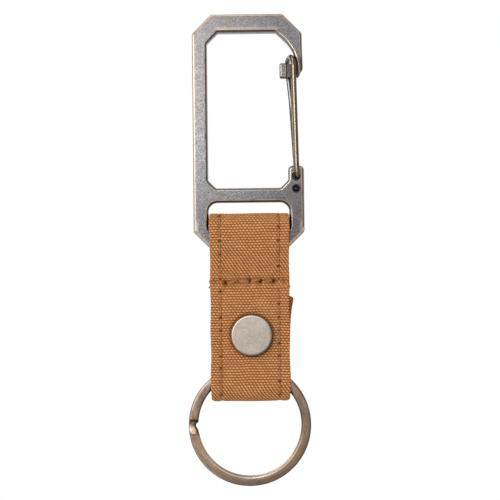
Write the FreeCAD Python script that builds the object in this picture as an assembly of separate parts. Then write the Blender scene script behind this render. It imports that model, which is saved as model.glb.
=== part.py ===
import FreeCAD
import Part
import math
import os

# Belt key clip, hanging upright: a clip plate with a wire gate, a doubled canvas strap with a snap,
# and a split ring. Millimetres, Z up, front towards -Y, X to the right. The origin is the middle of
# the face on which the clip hangs, the underside of the top bar.

# Canvas strap
strap_width = 22.5
face_thickness = 0.7
lining_thickness = 0.7
lining_setback = 0.5

# Clip plate
plate_thickness = 3.6
slot_clearance = 0.29
side_bar = 4.31
top_bar = 5.33
opening_height = 44.28
cross_bar = 4.16
slot_height = 9.08
bottom_bar = 4.0
top_chamfer = 5.5
bottom_chamfer = 4.7
opening_top_chamfer = 3.1
opening_bottom_chamfer = 2.2
slot_corner_radius = 2.6
outline_corner_radius = 1.0
edge_round = 0.85

# Hook nose at the open side
tip_width = 1.85
tip_foot = 0.6
tip_lift = 0.45
tip_chamfer_rise = 2.3
shoulder_inset = 7.9
shoulder_angle = 42.0
shoulder_radius = 12.5
hook_inset = 0.28
hook_drop = 8.97
neck_width = 2.6
neck_thickness = 2.1
neck_step = 0.25
head_width = 2.3
head_height = 4.3
head_thickness = 2.7
head_round = 0.6

# Wire gate and its lug
wire_diameter = 1.5
hole_play = 0.5
hole_spacing = 3.55
hole_depth_below_lug = 3.0
lug_wall = 1.05
lug_corner_radius = 1.3
gate_height = 31.1
arch_clearance = 0.55
gate_open_angle = 24.0
leg_clearance = 0.15
leg_bend_radius = 1.25
leg_shift = 1.8
rear_bend_drop = 12.0
rear_bend_shift = 0.74
rear_bend_radius = 30.0
leg_bow = 0.1
leg_bow_height = 0.6
leg_bow_radius = 12.0
tip_clearance = 0.25
wire_end_gap = 0.15
wire_end_round = 0.35
pocket_web = 0.5
web_dome_radius = 0.8
web_dome_height = 0.55

# Course of the strap
strap_slack = 3.23
top_loop_clearance = 0.7
seam_drop = 11.4
seam_offset = 0.8
seam_gap = 0.12
hem_above = 1.0
hem_below = 1.9
snap_drop = 15.25
snap_land = 1.3
tail_above_snap = 10.8
tail_gap = 0.9
tail_skew_angle = 2.2
ring_loop_radius = 3.3
loop_flare = 2.4
fold_gap = 0.1
bend_radius = 5.0

# Snap
cap_diameter = 11.7
cap_height = 1.25
cap_wall = 0.4
cap_round = 0.45
barrel_diameter = 3.0
barrel_wall = 0.3
barrel_flange = 0.35
barrel_fit = 0.1
socket_diameter = 10.0
socket_height = 2.6
socket_wall = 0.5
socket_round = 0.3
stud_head_diameter = 3.9
stud_neck_diameter = 3.0
stud_height = 2.0
stud_neck_height = 1.25
stud_flange_diameter = 9.6
stud_flange = 0.7
stud_head_round = 0.4
mouth_clearance = 0.3
snap_play = 0.2
spring_wire = 0.5
spring_fit = 0.12
spring_seat = 0.02
spring_opening_angle = 60.0
eyelet_diameter = 9.6
eyelet_flange = 0.6
eyelet_barrel = 2.1
eyelet_wall = 0.35
eyelet_round = 0.25
snap_shift = 0.4

# Split ring
ring_outer_diameter = 35.0
ring_wire_width = 2.75
ring_wire_thickness = 1.25
ring_coil_gap = 0.1
ring_wire_round = 0.55
ring_shift = 0.36
ring_top_gap = 3.26
ring_fold_clearance = 0.95
ring_split_angle = 174.9
ring_jog_angle = 13.2
ring_end_gap_angle = 1.2
jog_width_share = 0.74
jog_steps = 8
jog_peak_share = 0.68

# Thread
thread_width = 0.5
thread_height = 0.25
stitch_inset = 2.95
stitch_pitch = 3.7
stitch_share = 0.78
cross_stitch_pitch = 3.3
end_margin = 1.6

# One length by which every cutting body runs past what it cuts, and the smallest run kept
overrun = 1.0
least_run = 1e-6

X_AXIS = FreeCAD.Vector(1, 0, 0)
Y_AXIS = FreeCAD.Vector(0, 1, 0)
Z_AXIS = FreeCAD.Vector(0, 0, 1)


def at(x, y, z):
    return FreeCAD.Vector(x, y, z)


def rounded_course(corners, closed):
    """Splits a course of (point, radius) corners into straight runs and tangent arcs."""
    count = len(corners)
    reach = []
    for i, (point, radius) in enumerate(corners):
        if radius == 0 or (not closed and i in (0, count - 1)):
            reach.append(0.0)
            continue
        back = corners[i - 1][0] - point
        ahead = corners[(i + 1) % count][0] - point
        turn = math.pi - back.getAngle(ahead)
        reach.append(radius * math.tan(turn / 2))
    for i in range(count if closed else count - 1):
        j = (i + 1) % count
        length = (corners[j][0] - corners[i][0]).Length
        if reach[i] + reach[j] > length:
            share = length / (reach[i] + reach[j])
            reach[i] *= share
            reach[j] *= share
    pieces = []
    last = None
    for i, (point, radius) in enumerate(corners):
        if reach[i] < least_run:
            pieces.append((point, None, point))
            continue
        back = (corners[i - 1][0] - point).normalize()
        ahead = (corners[(i + 1) % count][0] - point).normalize()
        turn = math.pi - back.getAngle(ahead)
        true_radius = reach[i] / math.tan(turn / 2)
        inward = (back + ahead).normalize()
        middle = point + inward * (true_radius / math.cos(turn / 2) - true_radius)
        pieces.append((point + back * reach[i], middle, point + ahead * reach[i]))
    runs = []
    for i, (start, middle, end) in enumerate(pieces):
        if last is not None and (start - last).Length > least_run:
            runs.append((last, start))
        if middle is not None:
            runs.append((start, middle, end))
        last = end
    if closed and (pieces[0][0] - last).Length > least_run:
        runs.append((last, pieces[0][0]))
    return runs


def run_edge(run):
    if len(run) == 2:
        return Part.LineSegment(run[0], run[1]).toShape()
    return Part.Arc(run[0], run[1], run[2]).toShape()


def course_wire(corners, closed):
    return Part.Wire([run_edge(run) for run in rounded_course(corners, closed)])


def plate(corners, y_low, y_high):
    """Prism between two depths from corners (x, z, radius)."""
    outline = course_wire([(at(x, y_low, z), radius) for x, z, radius in corners], True)
    return Part.Face(outline).extrude(Y_AXIS * (y_high - y_low))


def box(x_low, x_high, y_low, y_high, z_low, z_high):
    return Part.makeBox(x_high - x_low, y_high - y_low, z_high - z_low, at(x_low, y_low, z_low))


def turned(profile, x, z):
    """Body of revolution about a line along Y at (x, z), from corners (radius, y, rounding)."""
    outline = course_wire([(at(r, y, 0), rounding) for r, y, rounding in profile], True)
    body = Part.Face(outline).revolve(at(0, 0, 0), Y_AXIS, 360)
    body.translate(at(x, 0, z))
    return body


def rod(x, z, radius, y_low, y_high):
    return Part.makeCylinder(radius, y_high - y_low, at(x, y_low, z), Y_AXIS)


# Side profile of the strap: runs in the plane across X, outer side on the right of the direction of travel.


def arc_data(run):
    start, middle, end = run
    centre = run_edge(run).Curve.Center
    first = start - centre
    last = end - centre
    sweep = first.getAngle(last)
    if X_AXIS.dot(first.cross(middle - centre)) < 0:
        sweep = -sweep
    return centre, first, sweep


def run_length(run):
    if len(run) == 2:
        return (run[1] - run[0]).Length
    centre, first, sweep = arc_data(run)
    return first.Length * abs(sweep)


def turn_about_x(vector, angle):
    return FreeCAD.Rotation(X_AXIS, math.degrees(angle)).multVec(vector)


def cut_run(run, low, high):
    length = run_length(run)
    if len(run) == 2:
        step = (run[1] - run[0]) * (1 / length)
        return (run[0] + step * low, run[0] + step * high)
    centre, first, sweep = arc_data(run)
    angles = [sweep * place / length for place in (low, (low + high) / 2, high)]
    return tuple(centre + turn_about_x(first, angle) for angle in angles)


def cut_course(runs, low, high):
    """Part of a course between two lengths along it."""
    kept = []
    done = 0.0
    for run in runs:
        length = run_length(run)
        start = max(low - done, 0.0)
        end = min(high - done, length)
        if end - start > least_run:
            kept.append(cut_run(run, start, end))
        done += length
    return kept


def course_length(runs):
    return sum(run_length(run) for run in runs)


def shifted_run(run, distance):
    """The run moved sideways to its outer side."""
    if len(run) == 2:
        side = (run[1] - run[0]).normalize().cross(X_AXIS) * distance
        return tuple(point + side for point in run)
    centre, first, sweep = arc_data(run)
    sign = 1 if sweep > 0 else -1
    grown = (first.Length + sign * distance) / first.Length
    return tuple(centre + (point - centre) * grown for point in run)


def band(runs, inner, outer, x_low, x_high):
    """Cloth band between two sideways shifts of a course, as wide as from x_low to x_high."""
    near = [shifted_run(run, inner) for run in runs]
    far = [shifted_run(run, outer) for run in runs]
    edges = [run_edge(run) for run in near]
    edges.append(run_edge((near[-1][-1], far[-1][-1])))
    edges += [run_edge(tuple(reversed(run))) for run in reversed(far)]
    edges.append(run_edge((far[0][0], near[0][0])))
    face = Part.Face(Part.Wire(edges))
    face.translate(X_AXIS * x_low)
    return face.extrude(X_AXIS * (x_high - x_low))


def edge_stitches(runs, low, high):
    """Two rows of stitches along a course, lying on its outer side."""
    count = int((high - low) / stitch_pitch)
    first = low + ((high - low) - count * stitch_pitch) / 2
    line = strap_width / 2 - stitch_inset
    stitches = []
    for side in (-line, line):
        for i in range(count):
            start = first + i * stitch_pitch
            run = cut_course(runs, start, start + stitch_pitch * stitch_share)
            stitches.append(band(run, face_thickness, face_thickness + thread_height,
                                 side - thread_width / 2, side + thread_width / 2))
    return stitches


def cross_stitches(runs, place):
    """One row of stitches across the strap at a length along a course."""
    room = strap_width - 2 * stitch_inset - thread_width
    count = int(room / cross_stitch_pitch)
    first = -count * cross_stitch_pitch / 2 + cross_stitch_pitch * (1 - stitch_share) / 2
    run = cut_course(runs, place - thread_width / 2, place + thread_width / 2)
    return [band(run, face_thickness, face_thickness + thread_height, first + i * cross_stitch_pitch,
                 first + (i + stitch_share) * cross_stitch_pitch) for i in range(count)]


# Levels and places that follow from the sizes
half_plate = plate_thickness / 2
frame_width = strap_width + 2 * slot_clearance + 2 * side_bar
half_frame = frame_width / 2
inside = half_frame - side_bar
frame_top = top_bar
cross_top = -opening_height
slot_top = cross_top - cross_bar
slot_bottom = slot_top - slot_height
frame_bottom = slot_bottom - bottom_bar
bar_centre = slot_bottom - bottom_bar / 2

wire_radius = wire_diameter / 2
hole_radius = wire_radius + hole_play
lug_width = 2 * (hole_radius + lug_wall)
pivot_x = half_frame - hole_radius - lug_wall
neck_top = -hook_drop
gate_top = neck_top + wire_diameter + arch_clearance
lug_top = gate_top - gate_height
upper_hole = lug_top - hole_depth_below_lug
lower_hole = upper_hole - hole_spacing
pivot_z = (upper_hole + lower_hole) / 2

tip_inside = half_frame - tip_width
head_right = tip_inside - neck_width
head_left = head_right - head_width
head_top = neck_top + neck_step
head_bottom = head_top - head_height
tip_bottom = head_bottom + tip_lift
slant_slope = tip_chamfer_rise / (tip_width - tip_foot)
shoulder_start = half_frame - shoulder_inset
shoulder_corner = -(tip_inside - shoulder_start) * math.tan(math.radians(shoulder_angle))

cloth = face_thickness + lining_thickness
bar_reach = math.hypot(bottom_bar / 2, half_plate)
top_loop_radius = bar_reach + top_loop_clearance
loop_side = top_loop_radius + lining_thickness
loop_centre = bar_centre + strap_slack
loop_top = loop_centre + loop_side
seam_level = bar_centre - seam_drop
seam_front = -seam_offset - lining_thickness - seam_gap / 2
seam_back = -seam_offset + lining_thickness + seam_gap / 2
snap_level = seam_level - snap_drop
snap_gap = socket_height + snap_play + stud_flange
snap_side = snap_gap / 2 + lining_thickness
land_top = snap_level + cap_diameter / 2 + snap_land
land_bottom = snap_level - cap_diameter / 2 - snap_land
tail_end = snap_level + tail_above_snap
tail_side = tail_gap + lining_thickness
ring_side = ring_loop_radius + lining_thickness
flare_end = land_bottom - loop_flare

ring_radius = ring_outer_diameter / 2
ring_inside = ring_radius - ring_wire_width
ring_top = snap_level - socket_diameter / 2 - ring_top_gap
ring_centre = ring_top - ring_radius
ring_in_loop = ring_centre + math.sqrt(ring_inside ** 2 - (strap_width / 2 + ring_shift) ** 2)
fold_inside = ring_in_loop - ring_fold_clearance
fold_level = fold_inside - lining_thickness
fold_outside = fold_level - face_thickness


def web_dome(level, side):
    """Low dome in a pocket of the lug, on the side away from the wire's end."""
    return turned([
        (0, 0, 0),
        (web_dome_radius, 0, 0),
        (web_dome_radius, side * (pocket_web / 2 + web_dome_height), web_dome_height),
        (0, side * (pocket_web / 2 + web_dome_height), 0),
    ], pivot_x, level)


def carabiner_frame():
    r = outline_corner_radius
    outline = [
        (-half_frame + top_chamfer, frame_top, r),
        (half_frame - hook_inset - top_chamfer, frame_top, r),
        (half_frame - hook_inset, frame_top - top_chamfer, r),
        (half_frame, tip_bottom, 0),
        (tip_inside, tip_bottom, 0),
        (tip_inside, shoulder_corner, shoulder_radius),
        (shoulder_start, 0, r),
        (-inside + opening_top_chamfer, 0, r),
        (-inside, -opening_top_chamfer, r),
        (-inside, cross_top + opening_bottom_chamfer, r),
        (-inside + opening_bottom_chamfer, cross_top, r),
        (half_frame - lug_width - opening_bottom_chamfer, cross_top, r),
        (half_frame - lug_width, cross_top + opening_bottom_chamfer, r),
        (half_frame - lug_width, lug_top, lug_corner_radius),
        (half_frame, lug_top, lug_corner_radius),
        (half_frame, frame_bottom + bottom_chamfer, r),
        (half_frame - bottom_chamfer, frame_bottom, r),
        (-half_frame + bottom_chamfer, frame_bottom, r),
        (-half_frame, frame_bottom + bottom_chamfer, r),
        (-half_frame, frame_top - top_chamfer, r),
    ]
    body = plate(outline, -half_plate, half_plate)
    slot = [
        (-inside, slot_top, slot_corner_radius),
        (inside, slot_top, slot_corner_radius),
        (inside, slot_bottom, slot_corner_radius),
        (-inside, slot_bottom, slot_corner_radius),
    ]
    body = body.cut(plate(slot, -half_plate - overrun, half_plate + overrun))
    rims = [edge for edge in body.Edges
            if all(abs(abs(vertex.Y) - half_plate) < least_run for vertex in edge.Vertexes)
            and abs(edge.CenterOfMass.y) > half_plate / 2]
    body = body.makeFillet(edge_round, rims)
    slant = [
        (half_frame + overrun, tip_bottom + tip_chamfer_rise + overrun * slant_slope, 0),
        (half_frame + overrun, tip_bottom - overrun, 0),
        (tip_inside + tip_foot - overrun / slant_slope, tip_bottom - overrun, 0),
    ]
    body = body.cut(plate(slant, -half_plate - overrun, half_plate + overrun))
    for level in (upper_hole, lower_hole):
        body = body.cut(rod(pivot_x, level, hole_radius, -half_plate - overrun, -pocket_web / 2))
        body = body.cut(rod(pivot_x, level, hole_radius, pocket_web / 2, half_plate + overrun))
    for level, side in ((lower_hole, -1), (upper_hole, 1)):
        body = body.fuse(web_dome(level, side))
    head = box(head_left, head_right, -head_thickness / 2, head_thickness / 2, head_bottom, head_top)
    head = head.makeFillet(head_round, head.Edges)
    neck = box(head_right - head_width / 2, tip_inside + tip_foot, -neck_thickness / 2, neck_thickness / 2,
               head_bottom + neck_step, neck_top)
    return body.fuse([neck, head]).removeSplitter()


def gate_wire():
    leg_depth = half_plate + leg_clearance + wire_radius
    swing = math.radians(gate_open_angle / 2)
    end_x = hole_spacing / 2 * math.sin(swing)
    end_z = hole_spacing / 2 * math.cos(swing)
    front_x = tip_inside - tip_clearance - wire_radius
    arch = leg_depth
    end_depth = pocket_web / 2 + wire_end_gap
    bow_x = pivot_x + leg_bow
    bow_z = lug_top + leg_bow_height
    front_at_bend = front_x + (bow_x - front_x) * rear_bend_drop / (gate_top - bow_z)
    course = [
        (at(pivot_x + end_x, -end_depth, pivot_z + end_z), 0),
        (at(pivot_x + end_x, -leg_depth, pivot_z + end_z), leg_bend_radius),
        (at(bow_x, -leg_depth, bow_z), leg_bow_radius),
        (at(front_x, -leg_depth, gate_top), arch),
        (at(front_x - leg_shift, leg_depth, gate_top), arch),
        (at(front_at_bend - rear_bend_shift, leg_depth, gate_top - rear_bend_drop), rear_bend_radius),
        (at(bow_x, leg_depth, bow_z), leg_bow_radius),
        (at(pivot_x - end_x, leg_depth, pivot_z - end_z), leg_bend_radius),
        (at(pivot_x - end_x, end_depth, pivot_z - end_z), 0),
    ]
    spine = course_wire(course, False)
    section = Part.Wire(Part.Circle(course[0][0], Y_AXIS, wire_radius).toShape())
    wire = spine.makePipeShell([section], True, False)
    ends = [edge for edge in wire.Edges
            if edge.isClosed() and abs(abs(edge.CenterOfMass.y) - end_depth) < least_run]
    return wire.makeFillet(wire_end_round, ends)


def strap_course():
    course = [
        (at(0, seam_back, seam_level - hem_below), 0),
        (at(0, seam_back, seam_level + hem_above), bend_radius),
        (at(0, loop_side, frame_bottom), bend_radius),
        (at(0, loop_side, loop_top), loop_side),
        (at(0, -loop_side, loop_top), loop_side),
        (at(0, -loop_side, frame_bottom), bend_radius),
        (at(0, seam_front, seam_level + hem_above), bend_radius),
        (at(0, seam_front, seam_level - hem_below), bend_radius),
        (at(0, -snap_side, land_top), bend_radius),
        (at(0, -snap_side, land_bottom), bend_radius),
        (at(0, -ring_side, flare_end), bend_radius),
        (at(0, -ring_side, fold_level), ring_side),
        (at(0, -fold_gap / 2, fold_level), 0),
    ]
    return rounded_course(course, False)


def flap_course():
    course = [
        (at(0, fold_gap / 2, fold_level), 0),
        (at(0, ring_side, fold_level), ring_side),
        (at(0, ring_side, flare_end), bend_radius),
        (at(0, snap_side, land_bottom), bend_radius),
        (at(0, snap_side, land_top), bend_radius),
        (at(0, tail_side, tail_end), 0),
    ]
    return rounded_course(course, False)


def cloth_plies(runs, y_low, y_high, hole_radius_in_cloth, skew_angle):
    """Outer and inner ply of a course, with the hole through both for the snap."""
    half = strap_width / 2
    inner_half = half - lining_setback
    hole = rod(snap_shift, snap_level, hole_radius_in_cloth, y_low, y_high)
    face = skewed(band(runs, 0, face_thickness, -half, half), skew_angle).cut(hole)
    lining = skewed(band(runs, -lining_thickness, 0, -inner_half, inner_half), skew_angle).cut(hole)
    return face, lining


def skewed(shape, angle):
    """The shape leaned sideways about the middle of the lower fold."""
    shape.rotate(at(0, 0, fold_outside), Y_AXIS, angle)
    return shape


front_outside = -snap_side - face_thickness
front_inside = -snap_gap / 2
back_inside = snap_gap / 2
back_outside = snap_side + face_thickness
barrel_radius = barrel_diameter / 2
barrel_bore = barrel_radius - barrel_wall
socket_far = front_inside + socket_height
stud_base = back_inside - stud_flange
stud_tip = stud_base - stud_height
stud_neck_end = stud_base - stud_neck_height
spring_level = socket_far - socket_wall - spring_seat - spring_wire / 2


def snap_cap():
    radius = cap_diameter / 2
    front = front_outside - cap_height
    return turned([
        (0, front, 0),
        (radius, front, cap_round),
        (radius, front_outside, 0),
        (radius - cap_wall, front_outside, 0),
        (radius - cap_wall, front + cap_wall, 0),
        (0, front + cap_wall, 0),
    ], snap_shift, snap_level)


def snap_barrel():
    flange = cap_diameter / 2 - cap_wall - barrel_fit
    end = front_inside + socket_wall
    return turned([
        (0, front_outside - barrel_flange, 0),
        (flange, front_outside - barrel_flange, 0),
        (flange, front_outside, 0),
        (barrel_radius, front_outside, 0),
        (barrel_radius, end, 0),
        (barrel_radius + barrel_wall, end, 0),
        (barrel_radius + barrel_wall, end + barrel_wall, 0),
        (barrel_bore, end + barrel_wall, 0),
        (barrel_bore, front_outside, 0),
        (0, front_outside, 0),
    ], snap_shift, snap_level)


def snap_socket():
    radius = socket_diameter / 2
    mouth = stud_head_diameter / 2 + mouth_clearance
    return turned([
        (barrel_radius, front_inside, 0),
        (radius, front_inside, 0),
        (radius, socket_far, socket_round),
        (mouth, socket_far, socket_round),
        (mouth, socket_far - socket_wall, 0),
        (radius - socket_wall, socket_far - socket_wall, 0),
        (radius - socket_wall, front_inside + socket_wall, 0),
        (barrel_radius, front_inside + socket_wall, 0),
    ], snap_shift, snap_level)


def snap_spring():
    radius = stud_head_diameter / 2 + spring_fit + spring_wire / 2
    section = Part.Circle(at(radius, spring_level, 0), Z_AXIS, spring_wire / 2).toShape()
    ring = Part.Face(Part.Wire(section)).revolve(at(0, 0, 0), Y_AXIS, 360 - spring_opening_angle)
    ring.translate(at(snap_shift, 0, snap_level))
    return ring


def snap_stud():
    bore = eyelet_barrel / 2
    return turned([
        (bore, back_inside, 0),
        (stud_flange_diameter / 2, back_inside, 0),
        (stud_flange_diameter / 2, stud_base, socket_round),
        (stud_neck_diameter / 2, stud_base, 0),
        (stud_neck_diameter / 2, stud_neck_end, 0),
        (stud_head_diameter / 2, stud_neck_end, 0),
        (stud_head_diameter / 2, stud_tip, stud_head_round),
        (0, stud_tip, 0),
        (0, stud_tip + eyelet_wall, 0),
        (bore, stud_tip + eyelet_wall, 0),
    ], snap_shift, snap_level)


def snap_eyelet():
    bore = eyelet_barrel / 2 - eyelet_wall
    return turned([
        (bore, back_outside + eyelet_flange, eyelet_round),
        (eyelet_diameter / 2, back_outside + eyelet_flange, eyelet_round),
        (eyelet_diameter / 2, back_outside, 0),
        (eyelet_barrel / 2, back_outside, 0),
        (eyelet_barrel / 2, stud_base, 0),
        (bore, stud_base, 0),
    ], snap_shift, snap_level)


def ring_section(angle, y, width):
    """Section of the ring's wire at an angle turned clockwise from +X, seen from the front."""
    outer = ring_radius
    half = ring_wire_thickness / 2
    corners = [
        (at(outer - width, y - half, 0), ring_wire_round),
        (at(outer, y - half, 0), ring_wire_round),
        (at(outer, y + half, 0), ring_wire_round),
        (at(outer - width, y + half, 0), ring_wire_round),
    ]
    section = course_wire(corners, True)
    section.rotate(at(0, 0, 0), Y_AXIS, angle)
    section.translate(at(-ring_shift, 0, ring_centre))
    return section


def split_ring():
    depth = (ring_wire_thickness + ring_coil_gap) / 2
    turn = 360 - ring_jog_angle - ring_end_gap_angle
    jog_skew = math.log(1 / 2) / math.log(jog_peak_share)
    start = -ring_split_angle
    centre = at(-ring_shift, 0, ring_centre)
    front = Part.Face(ring_section(start, -depth, ring_wire_width)).revolve(centre, Y_AXIS, turn)
    jog_start = start + turn
    sections = []
    for i in range(jog_steps + 1):
        share = i / jog_steps
        eased = share * share * (3 - 2 * share)
        narrow = 1 - (1 - jog_width_share) * math.sin(math.pi * share ** jog_skew) ** 2
        sections.append(ring_section(jog_start + ring_jog_angle * share, depth * (2 * eased - 1),
                                     ring_wire_width * narrow))
    jog = Part.makeLoft(sections, True, False)
    back_start = jog_start + ring_jog_angle
    back = Part.Face(ring_section(back_start, depth, ring_wire_width)).revolve(centre, Y_AXIS, turn)
    return front.fuse([jog, back]).removeSplitter()


def front_seam_place(runs):
    """Length along the course at which its front passes the level of the cross seam."""
    done = 0.0
    for run in runs:
        length = run_length(run)
        falls = run[-1].z < seam_level < run[0].z
        if falls and run[0].y < seam_front / 2 and len(run) == 2:
            return done + (run[0].z - seam_level)
        done += length
    raise ValueError("the course does not pass the seam")


def build():
    strap_runs = strap_course()
    flap_runs = flap_course()
    strap_length = course_length(strap_runs)
    flap_length = course_length(flap_runs)
    far = 2 * (ring_side + cloth)
    strap_face, strap_lining = cloth_plies(strap_runs, -far, front_inside + least_run, barrel_radius, 0)
    flap_face, flap_lining = cloth_plies(flap_runs, back_inside - least_run, far, eyelet_barrel / 2,
                                         tail_skew_angle)
    back_seam = hem_below
    front_seam = front_seam_place(strap_runs)
    nodes = {
        "carabiner_frame": carabiner_frame(),
        "gate_wire": gate_wire(),
        "strap_face": strap_face,
        "strap_lining": strap_lining,
        "strap_edge_stitching": Part.makeCompound(
            edge_stitches(strap_runs, end_margin, strap_length - end_margin)),
        "cross_seam_stitching": Part.makeCompound(
            cross_stitches(strap_runs, back_seam) + cross_stitches(strap_runs, front_seam)),
        "snap_cap": snap_cap(),
        "snap_barrel": snap_barrel(),
        "snap_socket": snap_socket(),
        "snap_spring": snap_spring(),
        "flap_face": flap_face,
        "flap_lining": flap_lining,
        "flap_edge_stitching": skewed(Part.makeCompound(
            edge_stitches(flap_runs, end_margin, flap_length - end_margin)), tail_skew_angle),
        "flap_hem_stitching": skewed(Part.makeCompound(
            cross_stitches(flap_runs, flap_length - end_margin)), tail_skew_angle),
        "snap_stud": snap_stud(),
        "snap_eyelet": snap_eyelet(),
        "split_ring": split_ring(),
    }
    os.makedirs("parts", exist_ok=True)
    for name, shape in nodes.items():
        shape.exportStep("parts/" + name + ".step")
        print(name, "solids", len(shape.Solids), "valid", shape.isValid(), "mm3", round(shape.Volume, 2))


build()
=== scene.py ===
import functools
import math

import bmesh
import bpy
import numpy as np
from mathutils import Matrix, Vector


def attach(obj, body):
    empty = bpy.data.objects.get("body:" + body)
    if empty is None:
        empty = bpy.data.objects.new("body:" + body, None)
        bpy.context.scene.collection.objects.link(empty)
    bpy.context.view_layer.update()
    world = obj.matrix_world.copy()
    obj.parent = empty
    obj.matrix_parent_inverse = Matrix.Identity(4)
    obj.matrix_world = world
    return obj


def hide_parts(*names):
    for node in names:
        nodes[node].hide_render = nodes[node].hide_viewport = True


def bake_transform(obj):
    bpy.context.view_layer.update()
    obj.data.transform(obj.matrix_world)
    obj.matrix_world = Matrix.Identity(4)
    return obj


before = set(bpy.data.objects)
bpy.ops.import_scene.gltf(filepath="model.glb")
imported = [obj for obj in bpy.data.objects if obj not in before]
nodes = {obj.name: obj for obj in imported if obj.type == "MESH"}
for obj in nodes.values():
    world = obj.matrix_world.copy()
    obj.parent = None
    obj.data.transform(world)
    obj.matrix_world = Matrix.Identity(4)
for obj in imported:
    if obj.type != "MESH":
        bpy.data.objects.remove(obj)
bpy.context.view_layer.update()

# The view. The clip hangs in front of a bare white ground, seen straight on from about 340 mm.
# It hangs a little out of plumb in the picture, so the camera is rolled by that angle.
view_distance = 0.340
view_width = 0.1432
view_middle = (0.00018, -0.06199)
view_roll = 0.62
scene = bpy.context.scene
scene.view_settings.view_transform = "Standard"
camera_data = bpy.data.cameras.new("camera")
camera_data.sensor_width = 36.0
camera_data.lens = camera_data.sensor_width * view_distance / view_width
camera_data.clip_start = 0.01
camera = bpy.data.objects.new("camera", camera_data)
camera.location = (view_middle[0], -view_distance, view_middle[1])
camera.rotation_euler = (math.radians(90), math.radians(view_roll), 0)
scene.collection.objects.link(camera)
scene.camera = camera

# Studio light: an even pale room, a small soft lamp just above and left of the camera, a large one on
# the left, one overhead and one behind. A camera or a reflection sees the room as plain white.
room_tint = (1.0, 0.985, 0.965)
room_level = 0.46
plain_white = (1, 1, 1)
white_level = 1.0


def join(source, socket):
    """Feeds a socket from another socket, or sets it to a colour or a plain value."""
    if isinstance(source, bpy.types.NodeSocket):
        socket.id_data.links.new(source, socket)
    elif isinstance(source, tuple):
        socket.default_value = (*source, 1)
    else:
        socket.default_value = source


def add_node(tree, kind, feeds, **settings):
    """New node in a tree, with its settings made and its inputs fed by label or number."""
    node = tree.nodes.new(kind)
    for label, value in settings.items():
        setattr(node, label, value)
    for label, source in feeds.items():
        join(source, node.inputs[label])
    return node


def maths(operation, *values):
    """One sum on sockets and plain numbers, in the tree that the sockets belong to."""
    tree = next(value.id_data for value in values if isinstance(value, bpy.types.NodeSocket))
    return add_node(tree, "ShaderNodeMath", dict(enumerate(values)), operation=operation).outputs[0]


def most(*values):
    """Greatest of two or more values."""
    return functools.reduce(functools.partial(maths, "MAXIMUM"), values)


def mix_shaders(share, first, second, surface):
    """Feeds a surface from two shaders, the second one by a share."""
    node = add_node(share.id_data, "ShaderNodeMixShader", {0: share, 1: first, 2: second})
    join(node.outputs[0], surface)


def soft_lamp(name, place, aim, size, power):
    """Square lamp at a place, turned to what it lights."""
    lamp = bpy.data.lights.new(name, "AREA")
    lamp.shape = "SQUARE"
    lamp.size = size
    lamp.energy = power
    holder = bpy.data.objects.new(name, lamp)
    holder.location = place
    heading = Vector(aim) - Vector(place)
    holder.rotation_euler = heading.to_track_quat("-Z", "Y").to_euler()
    scene.collection.objects.link(holder)


world = bpy.data.worlds.new("studio")
scene.world = world
world.use_nodes = True
room = world.node_tree
room.nodes.clear()
room_light = add_node(room, "ShaderNodeBackground", {"Color": room_tint, "Strength": room_level})
room_white = add_node(room, "ShaderNodeBackground", {"Color": plain_white, "Strength": white_level})
rays = room.nodes.new("ShaderNodeLightPath").outputs
seen = most(rays["Is Camera Ray"], rays["Is Glossy Ray"], rays["Is Transmission Ray"])
room_out = room.nodes.new("ShaderNodeOutputWorld")
mix_shaders(seen, room_light.outputs[0], room_white.outputs[0], room_out.inputs["Surface"])
soft_lamp("lamp_front", place=(-0.085, -0.44, 0.045), aim=(0, 0, -0.03), size=0.13, power=0.50)
soft_lamp("lamp_left", place=(-0.45, -0.35, 0.10), aim=(0, 0, -0.06), size=0.40, power=1.75)
soft_lamp("lamp_high", place=(-0.14, -0.20, 0.42), aim=(0, 0, -0.06), size=0.32, power=0.60)
soft_lamp("lamp_back", place=(-0.16, 0.45, 0.12), aim=(0, 0, -0.05), size=0.30, power=0.80)

# Floor: a plain pale round sheet, lying well below the hanging clip and taking its shadow.
# To a camera it pales to white outwards, so that its edge does not show.
floor_level = -0.30
floor_radius = 0.70
floor_sides = 120
floor_grey = (0.88, 0.88, 0.87)
floor_roughness = 0.9
floor_pale_range = (0.10, 0.90 * floor_radius)


def times(*values):
    """Product of two or more values."""
    return functools.reduce(functools.partial(maths, "MULTIPLY"), values)


def fade(value, empty, full):
    """Smooth step of a value, from 0 where it is empty to 1 where it is full, either way round."""
    feeds = {"Value": value, "From Min": empty, "From Max": full}
    node = add_node(value.id_data, "ShaderNodeMapRange", feeds, interpolation_type="SMOOTHSTEP")
    return node.outputs["Result"]


floor_turns = [2 * math.pi * k / floor_sides for k in range(floor_sides)]
floor_rim = [(floor_radius * math.cos(a), floor_radius * math.sin(a), floor_level) for a in floor_turns]
floor_mesh = bpy.data.meshes.new("floor")
floor_mesh.from_pydata(floor_rim, [], [list(range(floor_sides))])
floor = bpy.data.objects.new("floor", floor_mesh)
scene.collection.objects.link(floor)
floor_paint = bpy.data.materials.new("floor_paint")
floor_paint.use_nodes = True
tree = floor_paint.node_tree
shader = tree.nodes["Principled BSDF"]
join(floor_grey, shader.inputs["Base Color"])
join(floor_roughness, shader.inputs["Roughness"])
floor_white = add_node(tree, "ShaderNodeEmission", {"Color": plain_white, "Strength": white_level})
place = tree.nodes.new("ShaderNodeTexCoord").outputs["Object"]
floor_reach = add_node(tree, "ShaderNodeVectorMath", {0: place}, operation="DISTANCE")
floor_reach.inputs[1].default_value = (0, 0, floor_level)
to_camera = tree.nodes.new("ShaderNodeLightPath").outputs["Is Camera Ray"]
floor_pale = times(fade(floor_reach.outputs["Value"], *floor_pale_range), to_camera)
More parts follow.
